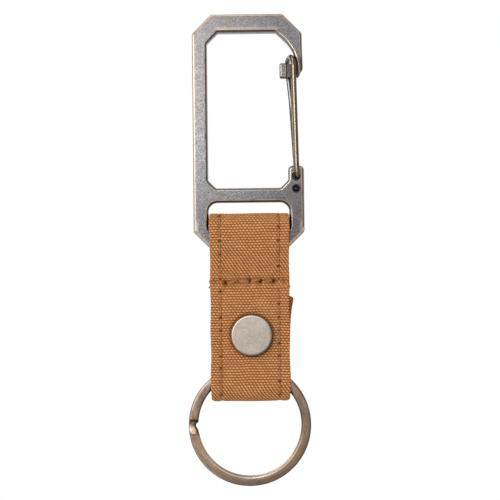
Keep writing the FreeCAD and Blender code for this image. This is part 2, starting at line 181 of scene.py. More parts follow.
floor_out = tree.nodes["Material Output"].inputs["Surface"]
mix_shaders(floor_pale, shader.outputs[0], floor_white.outputs[0], floor_out)
floor_mesh.materials.append(floor_paint)

# Clip plate: cast in one piece with its hook nose and gate lug, plated in antique brass. The flat faces
# keep a mottled grey skin with dark specks; the rounded rims are rubbed bright and partly painted as
# highlight, and painted shade darkens the low edges.
plate_cool = (0.143, 0.151, 0.168)
plate_warm = (0.136, 0.129, 0.125)
plate_rim = (0.400, 0.322, 0.252)
# Brighter rim colour, painted on the low, right-facing rims as light where the lamps reach less.
plate_low_rim_painted_light = (0.640, 0.500, 0.380)
plate_bar_highlight = (0.290, 0.212, 0.155)
# Dark specks in the skin, and also the colour of painted shade on shoulders, low edges, under the top bar,
# the lower right and the nose.
plate_speck_and_shade = (0.050, 0.036, 0.028)
plate_wall = (0.250, 0.245, 0.240)
# Near black, painted shade in the lug's pockets, on the recessed neck and on the walls beside the strap.
plate_recess_shade = (0.028, 0.028, 0.030)
plate_marking = {"Wall Until": 0.62, "Rim From": 0.955, "Rim Until": 0.9992, "Breakup": 420.0}

# A noise is given as scale and detail, a ramp as slope and start, and a way as parts along X and Z.
# A range says where a mask is empty and where full, a span also where it is full and empty again.
patch_noise = (620.0, 3.0)
broad_noise = (95.0, 4.0)
patch_share = 0.55
mottle_range = (0.40, 0.60)
speck_noise = (2300.0, 2.0)
speck_range = (0.36, 0.68)
speck_share = 0.62
dent_noise = (1500.0, 4.0)
dent_strength = 0.25
dent_depth = 0.00006
plate_roughness = 0.22
rim_polish = 0.05
grain_roughness = 0.14
least_slope = 0.0004
shade_way = (0.6, -0.8)
shade_range = (-0.45, 0.35)
shade_ramp = (0.55, 0.45)
inward_range = (-0.20, -0.50)
hook_side = (0.0050, 0.0070)
hook_top = (-0.0056, -0.0034)
hook_shade_loss = 0.75
hook_bright_share = 0.55
hook_rim_ramp = (-0.30, 0.92)
outer_sides = (0.0146, 0.0150)
outer_top = (0.0041, 0.0045)
upper_corners = (0.0130, 0.0135)
lower_corners = (0.0706, 0.0716)
corner_shade_loss = 0.85
shoulder_span = (0.42, 0.78, 0.955, 0.995)
shoulder_ramp = (0.6, 0.55)
bar_ends = (0.0098, 0.0084)
bar_foot = (-0.0020, -0.0010)
bar_rim = (0.0013, 0.0009)
bar_rim_loss = 0.55
bar_highlight_span = (0.0004, 0.0008, 0.0013, 0.0018)
bar_highlight_share = 0.45
bar_shade = (0.00090, 0.00065)
bar_shade_share = 0.60
band_sides = (0.0142, 0.0149)
band_top = (-0.0515, -0.0555)
band_corners = (0.0711, 0.0717)
band_share = 0.55
# Painted shade over the lower right of the plate.
lower_right_side = (0.0, 0.0080)
lower_right_top = (-0.0440, -0.0470)
lower_right_shade = 0.14
# Painted shade on the neck of the nose, where the wire shades it.
nose_side = (0.0122, 0.0128)
nose_span = (-0.0200, -0.0180, -0.0085, -0.0062)
nose_shade_share = 0.76
strap_span = (-0.0590, -0.0580, -0.0522, -0.0510)
strap_reach = 0.0130
recess_depth = (0.0013, 0.0008)
recess_span = (0.0080, 0.0095, 0.0148, 0.0154)


def rest(value):
    """What is left of 1."""
    return maths("SUBTRACT", 1.0, value)


def ramp(value, slope, start):
    """A value times a slope, added to a start."""
    return maths("MULTIPLY_ADD", value, slope, start)


def less(mask, amount):
    """1, less an amount where a mask is full."""
    return ramp(mask, -amount, 1.0)


def weighted(first, first_share, second, second_share):
    """Two values added up by their shares."""
    return ramp(first, first_share, times(second, second_share))


def blended(first, share, second):
    """Two values made one, by the share of the first."""
    return weighted(first, share, second, 1 - share)


def within(value, low, low_full, high_full, high):
    """1 between two bounds, fading out past them."""
    return times(fade(value, low, low_full), fade(value, high, high_full))


def split(vector):
    """The three parts of a vector."""
    return tuple(add_node(vector.id_data, "ShaderNodeSeparateXYZ", {0: vector}).outputs)


def cloud(place, scale, detail, roughness=0.55):
    """Noise between 0 and 1 at a place."""
    feeds = {"Vector": place, "Scale": scale, "Detail": detail, "Roughness": roughness}
    return add_node(place.id_data, "ShaderNodeTexNoise", feeds).outputs["Fac"]


def layered(colour, *coats):
    """A colour under coats that each cover a share of it with a colour of their own."""
    for share, coat in coats:
        node = add_node(share.id_data, "ShaderNodeMix", {}, data_type="RGBA")
        sockets = {socket.identifier: socket for socket in node.inputs}
        for label, source in (("Factor_Float", share), ("A_Color", colour), ("B_Color", coat)):
            join(source, sockets[label])
        colour = next(socket for socket in node.outputs if socket.identifier == "Result_Color")
    return colour


def finish(name, metallic):
    """New material and its shader."""
    material = bpy.data.materials.new(name)
    material.use_nodes = True
    shader = material.node_tree.nodes["Principled BSDF"]
    join(metallic, shader.inputs["Metallic"])
    return material, shader


def spot(shader):
    """Where each spot of a piece is, and which way it points."""
    where = shader.id_data.nodes.new("ShaderNodeTexCoord").outputs
    return where["Object"], where["Normal"]


def bump(shader, height, strength=1.0, distance=1.0):
    """Fine relief on a finish, from a height in metres or in shares of a distance."""
    feeds = {"Height": height, "Strength": strength, "Distance": distance}
    join(add_node(shader.id_data, "ShaderNodeBump", feeds).outputs[0], shader.inputs["Normal"])


def new_group(name, vectors, values, outputs):
    """Empty shader node group; gives it with the sockets to build from and to feed."""
    group = bpy.data.node_groups.new(name, "ShaderNodeTree")
    for label in vectors:
        group.interface.new_socket(label, in_out="INPUT", socket_type="NodeSocketVector")
    for label, value in values.items():
        socket = group.interface.new_socket(label, in_out="INPUT", socket_type="NodeSocketFloat")
        socket.default_value = value
    for label in outputs:
        group.interface.new_socket(label, in_out="OUTPUT", socket_type="NodeSocketFloat")
    return group, group.nodes.new("NodeGroupInput").outputs, group.nodes.new("NodeGroupOutput").inputs


def polished(name, node_name, body, material, has_flats):
    """Same shape as a node, with its triangles joined and its rounds shaded smooth beside crisp flats."""
    weld_distance = 1e-6
    crease_angle = math.radians(32)
    level = 1e-4
    work = bmesh.new()
    work.from_mesh(nodes[node_name].data)
    bmesh.ops.remove_doubles(work, verts=work.verts, dist=weld_distance)
    for face in work.faces:
        face.smooth = True
    for edge in work.edges:
        sides = [abs(face.normal.y) for face in edge.link_faces]
        flats = [has_flats and (side > 1 - level or side < level) for side in sides]
        edge.smooth = len(sides) == 2 and flats[0] == flats[1] and edge.calc_face_angle() < crease_angle
    mesh = bpy.data.meshes.new(name)
    work.to_mesh(mesh)
    work.free()
    mesh.materials.append(material)
    piece = bpy.data.objects.new(name, mesh)
    scene.collection.objects.link(piece)
    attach(piece, body)
    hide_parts(node_name)


# Edge marks: how far a spot of a flat piece is rim, shoulder or wall, from the way it points. The rim is
# the bright line next to the face, rubbed and partly a painted highlight; the shoulder is the dark line
# outside it, painted shade.
wall_softness = 0.22
shoulder_before = 0.05
shoulder_after = 0.03
rim_softness = 0.014
grain_detail = 4.0
grain_fineness = 0.5
grain_range = (0.22, 0.52)
edge_marking, marking_in, marking_out = new_group(
    "edge_wear_and_shade", ["Pointing", "Place"],
    {"Wall Until": 0.10, "Rim From": 0.90, "Rim Until": 0.997, "Breakup": 900.0},
    ["Rim", "Shoulder Shade", "Wall", "Grain"])
facing = maths("ABSOLUTE", split(marking_in["Pointing"])[1])
wall_end = marking_in["Wall Until"]
rim_start = marking_in["Rim From"]
rim_end = marking_in["Rim Until"]
shoulder_fading = maths("SUBTRACT", rim_start, shoulder_before)
shoulder_end = maths("ADD", rim_start, shoulder_after)
past_wall = fade(facing, wall_end, maths("ADD", wall_end, wall_softness))
past_shoulder = fade(facing, shoulder_fading, shoulder_end)
past_rim = fade(facing, maths("SUBTRACT", rim_end, rim_softness), rim_end)
grain = cloud(marking_in["Place"], marking_in["Breakup"], grain_detail, grain_fineness)
# The rim share is rubbed and partly a painted highlight; the shoulder share is painted shade.
join(times(past_shoulder, rest(past_rim), fade(grain, *grain_range)), marking_out["Rim"])
join(times(past_wall, rest(past_shoulder)), marking_out["Shoulder Shade"])
join(rest(past_wall), marking_out["Wall"])
join(grain, marking_out["Grain"])


def marked_edges(place, pointing, values):
    """Edge marks placed in a material with its own values: rubbed rims that are partly a painted highlight,
    and painted shade on the shoulders; gives the group's outputs.
    """
    feeds = {"Place": place, "Pointing": pointing, **values}
    return add_node(place.id_data, "ShaderNodeGroup", feeds, node_tree=edge_marking).outputs


plate_finish, shader = finish("antique_plate", 1.0)
place, pointing = spot(shader)
x, y, z = split(place)
to_x, to_y, to_z = split(pointing)
edge_marks = marked_edges(place, pointing, plate_marking)
mottle = blended(cloud(place, *patch_noise), patch_share, cloud(place, *broad_noise))
speck = fade(cloud(place, *speck_noise), *speck_range)
aside = maths("ABSOLUTE", x)
to_upper_corner = maths("ADD", aside, z)
to_lower_corner = maths("SUBTRACT", aside, z)
facing = maths("ABSOLUTE", to_y)
slope = maths("SQRT", most(rest(times(facing, facing)), least_slope))
inward = fade(maths("DIVIDE", to_x, slope), *inward_range)
in_hook = times(fade(x, *hook_side), fade(z, *hook_top), inward)
# Painted shade on the edges that point down and to the right, away from the lamps; less of it inside the
# hook and at the lower corners.
shaded_side = fade(maths("DIVIDE", weighted(to_x, shade_way[0], to_z, shade_way[1]), slope), *shade_range)
shaded_side = times(shaded_side, less(in_hook, hook_shade_loss))
low_corner = fade(to_lower_corner, *lower_corners)
outside = most(fade(aside, *outer_sides), fade(z, *outer_top), fade(to_upper_corner, *upper_corners))
outside = most(outside, times(in_hook, hook_bright_share), low_corner)
kept_shade = times(shaded_side, less(low_corner, corner_shade_loss))
# Outer shoulders away from the shaded side, and inside the hook, are bright: rubbed, and partly a painted
# highlight from the lamps on the left and above.
handled_and_lit = times(rest(kept_shade), outside)
worn_and_lit_shoulder = times(within(facing, *shoulder_span), ramp(edge_marks["Grain"], *shoulder_ramp))
# Under the top bar: a painted highlight line on the flat face, less rim below it, and painted shade on the
# edge.
under_bar = times(fade(z, *bar_foot), fade(aside, *bar_ends))
rim_share = times(edge_marks["Rim"], ramp(in_hook, *hook_rim_ramp))
rim_share = times(rim_share, less(times(under_bar, fade(z, *bar_rim)), bar_rim_loss))
# Rims on the shaded side take the brighter colour, as painted light.
rim_colour = layered(plate_rim, (shaded_side, plate_low_rim_painted_light))
low_sides = times(fade(aside, *band_sides), fade(z, *band_top))
low_band = most(low_sides, fade(to_lower_corner, *band_corners))
on_nose = times(fade(x, *nose_side), within(z, *nose_span))
# Painted shade on the slot walls beside the strap and in the recesses.
by_strap_shade = times(within(z, *strap_span), maths("LESS_THAN", aside, strap_reach))
in_recess_shade = times(fade(maths("ABSOLUTE", y), *recess_depth), within(x, *recess_span))
skin = layered(
    plate_warm,
    (fade(mottle, *mottle_range), plate_cool),
    (times(speck, speck_share), plate_speck_and_shade),
    (rim_share, rim_colour),
    (times(within(z, *bar_highlight_span), under_bar, bar_highlight_share), plate_bar_highlight),
    (times(low_band, band_share), plate_rim),
    (times(fade(x, *lower_right_side), fade(z, *lower_right_top), lower_right_shade), plate_speck_and_shade),
    (times(under_bar, fade(z, *bar_shade), bar_shade_share), plate_speck_and_shade),
    (times(edge_marks["Shoulder Shade"], ramp(kept_shade, *shade_ramp)), plate_speck_and_shade),
    (edge_marks["Wall"], plate_wall),
    (times(handled_and_lit, worn_and_lit_shoulder), rim_colour),
    (times(on_nose, nose_shade_share), plate_speck_and_shade),
    (times(by_strap_shade, edge_marks["Wall"]), plate_recess_shade),
    (in_recess_shade, plate_recess_shade))
join(skin, shader.inputs["Base Color"])
polish = ramp(edge_marks["Rim"], -rim_polish, plate_roughness)
join(ramp(edge_marks["Grain"], grain_roughness, polish), shader.inputs["Roughness"])
bump(shader, cloud(place, *dent_noise), dent_strength, dent_depth)
polished("clip_plate", "carabiner_frame", "carabiner", plate_finish, has_flats=True)

# Wire gate: one spring wire bent into two legs, its ends hooked into the lug from both sides. The brown
# plating is rubbed to brass on the crown of the front leg, partly a painted highlight; the leg behind is
# painted darker as shade, with a painted highlight along its upper part and arch.
gate_brass_and_highlight = (0.275, 0.224, 0.160)
gate_rear_highlight = (0.320, 0.310, 0.300)
gate_brown = (0.092, 0.068, 0.044)
# The leg behind is painted darker, as shade behind the front leg.
gate_shade = (0.052, 0.050, 0.047)
gate_roughness_ramp = (0.04, 0.24)
crown_middle = -0.18
crown_width = (0.02, 0.33)
rear_highlight_middle = -0.36
rear_highlight_width = (0.04, 0.20)
streak_noise = (1800.0, 2.0)
streak_stretch = 0.06
streak_range = (0.30, 0.70)
streak_wear = 0.20
leg_gap = (-0.0010, 0.0010)
rear_highlight_top = (-0.0225, -0.0190)
arch_highlight_top = (-0.0098, -0.0085)
arch_highlight_share = 0.6


def combined(*parts):
    """A vector of three parts."""
    tree = next(part.id_data for part in parts if isinstance(part, bpy.types.NodeSocket))
    return add_node(tree, "ShaderNodeCombineXYZ", dict(enumerate(parts))).outputs[0]


def near(value, middle, full, empty):
    """1 as far as full from a middle value, 0 past empty."""
    return fade(maths("ABSOLUTE", maths("SUBTRACT", value, middle)), empty, full)


gate_finish, shader = finish("antique_wire", 1.0)
place, pointing = spot(shader)
x, y, z = split(place)
to_x = split(pointing)[0]
streak = fade(cloud(combined(x, y, times(z, streak_stretch)), *streak_noise), *streak_range)
# Crown of the front leg: rubbed brass, and partly a painted highlight, a little left of the middle.
worn = times(near(to_x, crown_middle, *crown_width), ramp(streak, streak_wear, 1 - streak_wear))
# Painted highlight along the upper part of the leg behind and over the arch.
rear_highlight = times(near(to_x, rear_highlight_middle, *rear_highlight_width), fade(z, *rear_highlight_top))
rear_highlight = most(rear_highlight, times(fade(z, *arch_highlight_top), arch_highlight_share))
front_leg = layered(gate_brown, (worn, gate_brass_and_highlight))
rear_leg = layered(gate_shade, (rear_highlight, gate_rear_highlight))
join(layered(front_leg, (fade(y, *leg_gap), rear_leg)), shader.inputs["Base Color"])
join(ramp(streak, *gate_roughness_ramp), shader.inputs["Roughness"])
polished("wire_gate", "gate_wire", "gate", gate_finish, has_flats=False)

# Canvas strap: a band of heavy plain-woven canvas, two plies sewn along both edges. It loops over the
# lower bar of the plate, is sewn across below it, and folds up round the split ring to the snap.
strap_width = 0.0225
strap_half = strap_width / 2
strap_half_thickness = 0.0007
strap_edge_round = 0.00042
strap_edge_steps = 4
ply_groove = 0.00012
loop_side = 0.0040907
loop_top = -0.0521993
plate_foot = -0.06152
seam_level = -0.07092
seam_front = -0.00156
seam_back = -0.00004
seam_lead = 0.0010
seam_tail = 0.0019
seam_lap = 0.0005
snap_level = -0.08617
snap_middle = 0.0004
snap_side = 0.00245
land_top = -0.07902
land_bottom = -0.09332
ring_side = 0.0040
flare_end = -0.09572
fold_level = -0.1044822
tail_end = -0.07537
tail_side = 0.0016
cloth_bend = 0.0050
weft_pitch = 0.000745
warp_pitch = 0.0004885
rows_per_weft = 5
face_columns = 139
lining_columns = 40
weave_low = 0.00050
weave_rise = 0.00028
weft_swing = 0.22
weft_lean = 0.25
drawn_swing = 0.14
drawn_lean = 0.55
drawn_flatness = 0.50
rib_power = 0.7
warp_rise = 0.50
stitch_line = 0.0083
stitch_pitch = 0.0037
cross_pitch = 0.0033


def path_run(points):
    """Length along a path up to each of its points."""
    return np.concatenate([[0], np.cumsum(np.linalg.norm(np.diff(points, axis=0), axis=1))])


def cloth_course(corners, spacing):
    """Runs, points and outward normals, in the plane across X, along rounded corners (y, z, radius)."""
    bend_steps = 40
    least_gap = 1e-9
    points = [np.array(corner[:2]) for corner in corners]
    dense = [points[0]]
    for i in range(1, len(points) - 1):
        radius = corners[i][2]
        back, ahead = points[i - 1] - points[i], points[i + 1] - points[i]
        back, ahead = back / np.linalg.norm(back), ahead / np.linalg.norm(ahead)
        turn = math.pi - math.acos(np.clip(back @ ahead, -1, 1))
        inward = (back + ahead) / np.linalg.norm(back + ahead)
        middle = points[i] + inward * radius / math.cos(turn / 2)
        start = points[i] + back * radius * math.tan(turn / 2) - middle
        side = 1 if back[0] * ahead[1] - back[1] * ahead[0] < 0 else -1
        for k in range(bend_steps + 1):
            a = side * turn * k / bend_steps
            dense.append(middle + np.array([start[0] * math.cos(a) - start[1] * math.sin(a),
                                            start[0] * math.sin(a) + start[1] * math.cos(a)]))
    dense = np.array(dense + [points[-1]])
    gaps = np.linalg.norm(np.diff(dense, axis=0), axis=1)
    dense = dense[np.concatenate([[True], gaps > least_gap])]
    run = path_run(dense)
    s = np.linspace(0, run[-1], int(round(run[-1] / spacing)) + 1)
    line = np.stack([np.interp(s, run, dense[:, 0]), np.interp(s, run, dense[:, 1])], axis=1)
    heading = np.gradient(line, s, axis=0)
    heading /= np.linalg.norm(heading, axis=1)[:, None]
    return s, line, np.stack([heading[:, 1], -heading[:, 0]], axis=1)


loop_corners = [
    (seam_back, seam_level - seam_tail, 0), (seam_back, seam_level + seam_lead, cloth_bend),
    (loop_side, plate_foot, cloth_bend), (loop_side, loop_top, loop_side),
    (-loop_side, loop_top, loop_side), (-loop_side, plate_foot, cloth_bend),
    (seam_front, seam_level + seam_lead, cloth_bend), (seam_front, seam_level - seam_tail, 0)]
drop_corners = [
    (seam_front, seam_level + seam_lap, 0), (seam_front, seam_level - seam_tail, cloth_bend),
    (-snap_side, land_top, cloth_bend), (-snap_side, land_bottom, cloth_bend),
    (-ring_side, flare_end, cloth_bend), (-ring_side, fold_level, ring_side),
    (ring_side, fold_level, ring_side), (ring_side, flare_end, cloth_bend),
    (snap_side, land_bottom, cloth_bend), (snap_side, land_top, cloth_bend), (tail_side, tail_end, 0)]
loop_run = cloth_course(loop_corners, weft_pitch)[0][-1]
front_seam_run = loop_run - seam_tail
drop_start = front_seam_run - seam_lap


def dip(distance, width):
    """Bell curve, 1 at no distance."""
    return np.exp(-(distance / width) ** 2)


def canvas_profile():
    """The band cut across: places across it and off its middle, and which lie on its face and lining."""
    corner = strap_half - strap_edge_round
    flat = strap_half_thickness - strap_edge_round
    turns = [math.pi / 2 * k / strap_edge_steps for k in range(1, strap_edge_steps + 1)]
    bends = [(strap_edge_round * math.sin(a), strap_edge_round * math.cos(a)) for a in turns]
    right = [(corner + far, flat + high) for far, high in bends]
    right += [(strap_half - ply_groove, 0.0)]
    right += [(corner + high, -flat - far) for far, high in bends[:-1]]
    left = [(-u, n) for u, n in reversed(right)]
    face = [(u, strap_half_thickness) for u in np.linspace(-corner, corner, face_columns)]
    lining = [(u, -strap_half_thickness) for u in np.linspace(corner, -corner, lining_columns)]
    profile = np.array(face + right + lining + left)
    side = np.concatenate([np.full(len(part), k) for k, part in enumerate((face, right, lining, left))])
    return profile[:, 0], profile[:, 1], (side == 0) * 1.0, (side == 2) * 1.0


def yarn_counts(U, S, face_run):
    """Yarns counted across and along the band, each line of them a little wavy, as woven."""
    warp_sway = 0.20
    warp_ripple = 0.14
    weft_sway = 0.06
    weft_ripple = 0.05
    across = U / warp_pitch + warp_sway * np.sin(S * 410 + 1.0) * np.cos(U * 190)
    across += warp_ripple * np.sin(S * 1150 + U * 300)
    along = face_run / weft_pitch + weft_sway * np.sin(U * 330 + np.sin(S * 120))
    along += weft_ripple * np.sin(U * 900 + S * 110)
    return across, along


def plain_weave(across, along, drawn):
    """Relief of a plain weave, 0 in the gaps to 1 on the crowns, at yarn counts across and along."""
    row = np.round(along)
    column = np.round(across)
    swing = weft_swing + drawn_swing * drawn
    lean = weft_lean + drawn_lean * drawn
    flatness = drawn_flatness * drawn
    rib = np.clip(np.cos(np.pi * (along - row)), 0, 1) ** rib_power * (1 - flatness) + flatness
    weft = rib * (1 - swing + swing * np.cos(np.pi * (across - lean * (along - row) + row)))
    over = 0.5 - 0.5 * np.cos(np.pi * (along + column))
    warp = warp_rise * np.cos(np.pi * (across - column)) * over
    return np.clip(np.maximum(weft, warp), 0, 1)


def drawn_yarns(S):
    """How far the yarns are drawn together: above the cross seam, and round the fold at the ring."""
    seam_gap = 0.0056
    seam_reach = 0.0048
    fold_gap = 0.0285
    fold_ease = 0.002
    above_seam = dip(front_seam_run - S - seam_gap, seam_reach)
    return np.maximum(above_seam, np.clip((S - front_seam_run - fold_gap) / fold_ease, 0, 1))


def edge_channels(U, S):
    """Depth and painted shade along the edge stitches: a channel with a hole at each pitch, some pulled
    deeper.
    """
    channel_width = 0.00042
    channel_depth = 0.00014
    channel_shade = 0.14
    hole_width = 0.00052
    hole_depth = 0.00030
    hole_power = 8
    pull_step = 2.1
    pull_contrast = 1.6
    least_pull = 0.45
    off_stitches = np.abs(U) - stitch_line
    channel = dip(off_stitches, channel_width)
    pull = np.cos(pull_step * np.round(S / stitch_pitch) + np.sign(U))
    pulled = 0.5 + 0.5 * np.clip(pull_contrast * pull, -1, 1)
    hole = (np.cos(2 * np.pi * (S / stitch_pitch)) * 0.5 + 0.5) ** hole_power
    hole = hole * (least_pull + (1 - least_pull) * pulled)
    depth = channel_depth * channel + hole_depth * channel * hole
    return depth, channel_shade * channel + dip(off_stitches, hole_width) * hole


def seam_drift(across):
    """How far the sewn cross seam wanders down from its level at a place across the strap."""
    sag = 0.00040
    sag_middle = -0.0066
    sag_width = 0.0024
    bow = 0.00016
    bow_width = 0.0030
    return sag * dip(across - sag_middle, sag_width) - bow * dip(across, bow_width)


def cross_seam(U, S, run):
    """Depth and painted shade at the cross seam: a lane pinched by its stitches, between puckers and
    swells.
    """
    lane_width = 0.00050
    lane_depth = 0.00030
    lane_reach = stitch_line - 0.0004
    edge_share = 0.55
    pinch_width = 0.00070
    pinch_depth = 0.00030
    pucker_off = 0.0010
    pucker_width = 0.0011
    pucker_height = 0.00016
    slack_middle = -0.0036
    slack_width = 0.0012
    slack_share = 0.7
    swell_off = 0.0013
    swell_width = 0.0007
    swell_height = 0.00016
    shade_width = 0.00115
    lane_shade = 0.66
    pinch_shade = 0.42
    pucker_waver = 0.5
    gap = S - run - seam_drift(U) * (1 if run == front_seam_run else -1)
    lane = np.where(np.abs(U) < lane_reach, 1.0, edge_share)
    slack = 1 - slack_share * dip(U - slack_middle, slack_width)
    pucker = -np.cos(2 * np.pi * U / cross_pitch + pucker_waver * np.sin(U * 700)) * slack
    pinch = np.clip(-pucker, 0, 1)
    depth = lane * (lane_depth * dip(gap, lane_width) + pinch_depth * dip(gap, pinch_width) * pinch ** 3)
    depth -= lane * pucker_height * pucker * dip(np.abs(gap) - pucker_off, pucker_width)
    depth -= swell_height * dip(np.abs(gap) - swell_off, swell_width)
    return depth, lane * dip(gap, shade_width) * (lane_shade + pinch_shade * pinch ** 1.5)


def band_object(name, X, Y, Z, yarns, marks):
    """Closed tube over a grid of places, capped at both ends, with yarn counts and marks on it."""
    rows, ring = X.shape
    places = np.stack([X, Y, Z], axis=2).reshape(-1, 3)
    starts = np.arange(rows - 1)[:, None] * ring
    first = (starts + np.arange(ring)).reshape(-1)
    second = (starts + (np.arange(ring) + 1) % ring).reshape(-1)
    faces = np.stack([first, second, second + ring, first + ring], axis=1).tolist()
    faces += [list(range(ring))[::-1], list(range((rows - 1) * ring, rows * ring))]
    mesh = bpy.data.meshes.new(name)
    mesh.from_pydata(places.tolist(), [], faces)
    mesh.polygons.foreach_set("use_smooth", np.ones(len(mesh.polygons), dtype=bool))
    corner_points = np.empty(len(mesh.loops), dtype=np.int32)
    mesh.loops.foreach_get("vertex_index", corner_points)
    counts = np.stack(yarns, axis=2).reshape(-1, 2)
    layer = mesh.uv_layers.new(name="yarns")
    layer.data.foreach_set("uv", counts[corner_points].reshape(-1).astype(np.float32))
    for label, values in marks.items():
        layer = mesh.attributes.new(label, "FLOAT", "POINT")
        layer.data.foreach_set("value", values.reshape(-1).astype(np.float32))
    piece = bpy.data.objects.new(name, mesh)
    scene.collection.objects.link(piece)
    return piece


def canvas_band(name, corners, start_run, seam_runs, shape_end):
    """Woven band along a course, sunk at its stitches and seams, and shaped by bends of its own."""
    edge_ease = 0.0006
    edge_relief = 0.55
    lining_low = 0.00006
    lining_rise = 0.00004
    unevenness = 0.00005
    edge_wobble = 0.00008
    end_shares = (0.72, 0.90, 0.98)
    s, line, outward = cloth_course(corners, weft_pitch / rows_per_weft)
    profile_u, profile_n, outer, inner = canvas_profile()
    U, S = np.meshgrid(profile_u, s + start_run)
    across, along = yarn_counts(U, S, path_run(line + outward * weave_low)[:, None])
    drawn = drawn_yarns(S)
    relief = plain_weave(across, along, drawn)
    from_edge = np.clip((strap_half - strap_edge_round * 0.5 - np.abs(U)) / edge_ease, 0, 1)
    rise = weave_rise * relief * (edge_relief + (1 - edge_relief) * from_edge)
    N = profile_n + outer * (weave_low - strap_half_thickness + rise)
    N += inner * (lining_low - lining_rise * relief)
    depth, painted_shade = edge_channels(U, S)
    N -= outer * depth
    for run in seam_runs:
        depth, seam_shade = cross_seam(U, S, run)
        N -= outer * depth
        painted_shade = np.maximum(painted_shade, seam_shade)
    N += outer * unevenness * np.sin(U * 420 + 1.3 * np.sin(S * 260)) * np.sin(S * 330)
    X = U + edge_wobble * np.sin(S * 450) * np.sign(U) * (np.abs(U) / strap_half) ** 6
    Y = line[:, 0][:, None] + outward[:, 0][:, None] * N
    Z = line[:, 1][:, None] + outward[:, 1][:, None] * N
    X, Y, Z, painted_shade = shape_end(X, Y, Z, painted_shade, outer)
    for i, share in enumerate(end_shares):
        for end in (i, len(s) - 1 - i):
            Y[end] = line[end, 0] + (Y[end] - line[end, 0]) * share
            Z[end] = line[end, 1] + (Z[end] - line[end, 1]) * share
    # The sunk marks carry painted shade: stitch channels, needle holes, seam lanes and the canvas round the
    # snap.
    marks = {"sunk_shade": np.clip(painted_shade * outer, 0, 1), "drawn": drawn}
    return band_object(name, X, Y, Z, (across, along), marks)


def loop_shape(X, Y, Z, painted_shade, outer):
    """The loop fills the slot, and the corners of the sewn-in end behind fray out past the front."""
    snug_foot = -0.0574
    snug_ease = 0.0015
    snug_share = 0.016
    behind = -0.0008
    end_reach = 0.0007
    seam_reach = 0.0006
    seam_share = 0.5
    fray_left = -0.00062
    fray_right = 0.00040
    fray_power = 30
    snug = np.clip((Z - snug_foot) / snug_ease, 0, 1)
    loose = dip(Z - seam_level + seam_tail, end_reach)
    loose += seam_share * dip(Z - seam_level, seam_reach) * (X < 0)
    fray = loose * (Y > behind) * (np.abs(X) / strap_half) ** fray_power
    return X * (1 + snug_share * snug) + fray * np.where(X < 0, fray_left, fray_right), Y, Z, painted_shade


def press(X, Y, Z, painted_shade, outer, radius, front):
    """Canvas pressed flat under and round a snap part, with painted shadow there."""
    depth = 0.00022
    margin = 0.0011
    press_shade = 0.75
    reach = np.hypot(X - snap_middle, Z - snap_level)
    under = np.clip((radius + margin - reach) / margin, 0, 1)
    under = under * under * (3 - 2 * under) * outer * (Y * front > 0)
    return Y - front * depth * under, np.maximum(painted_shade, press_shade * under)


def flap_lean(y, z):
    """How far the flap behind has leant to the right at a height, most at its free end."""
    lean_foot = -0.0939
    lean_height = 0.0170
    lean_limit = 1.2
    lean_power = 2.2
    lean_reach = 0.00120
    return np.clip((z - lean_foot) / lean_height, 0, lean_limit) ** lean_power * lean_reach * (y > 0)


def drop_shape(X, Y, Z, painted_shade, outer):
    """The flap leans, and the fold and the free end are worn round at their corners."""
    cap_radius = 0.00585
    eyelet_radius = 0.0048
    corner_round = 0.0012
    corner_power = 8
    fold_foot = fold_level - strap_half_thickness
    Y, painted_shade = press(X, Y, Z, painted_shade, outer, cap_radius, -1)
    Y, painted_shade = press(X, Y, Z, painted_shade, outer, eyelet_radius, 1)
    low = np.clip((fold_foot + corner_round - Z) / corner_round, 0, 1)
    high = np.clip((Z - tail_end + corner_round) / corner_round, 0, 1) * (Y > 0)
    worn = np.maximum(low, high)
    tuck = corner_round * (1 - np.sqrt(1 - worn ** 2)) * (np.abs(X) / strap_half) ** corner_power
    return X + flap_lean(Y, Z) - np.sign(X) * tuck, Y, Z, painted_shade


canvas_loop = canvas_band("canvas_loop", loop_corners, 0.0, [seam_tail, front_seam_run], loop_shape)
canvas_drop = canvas_band("canvas_drop", drop_corners, drop_start, [front_seam_run], drop_shape)

# Canvas colour: tan weft crowns, darker warp and deep brown gaps, uneven from yarn to yarn; the darkening
# down into the gaps is painted shade. The weave is worked out from the yarn counts that the band carries,
# as its relief is.
canvas_crown = (0.815, 0.408, 0.186)
canvas_middle = (0.435, 0.183, 0.064)
canvas_dark_yarn_and_shade = (0.125, 0.034, 0.003)
canvas_roughness = 0.88
canvas_sheen = 0.10
canvas_sheen_roughness = 0.5
cloth_gloss = 0.10
tone_noise = (1.0, 3.0)
row_stride = 7.31
fibre_noise = (3.0, 3.0)
fibre_along = 2.2
fibre_slant = 1.2
fibre_across = 0.8
fibre_strength = 0.5
fibre_depth = 0.00008
middle_range = (0.16, 0.60)
crown_range = (0.55, 0.98)
dark_yarn_range = (0.72, 0.28)
dark_yarn_share = 0.30
pale_fibre_range = (0.50, 0.72)
pale_fibre_share = 0.34
sunk_shade_share = 0.85
hole_range = (0.72, 1.05)
hole_shade = 0.80


def half_wave(value):
    """Cosine that turns over from one whole number to the next."""
    return maths("COSINE", times(value, math.pi))


def shaded(colour, share):
    """A colour darkened to a share of itself."""
    return tuple(share * part for part in colour)


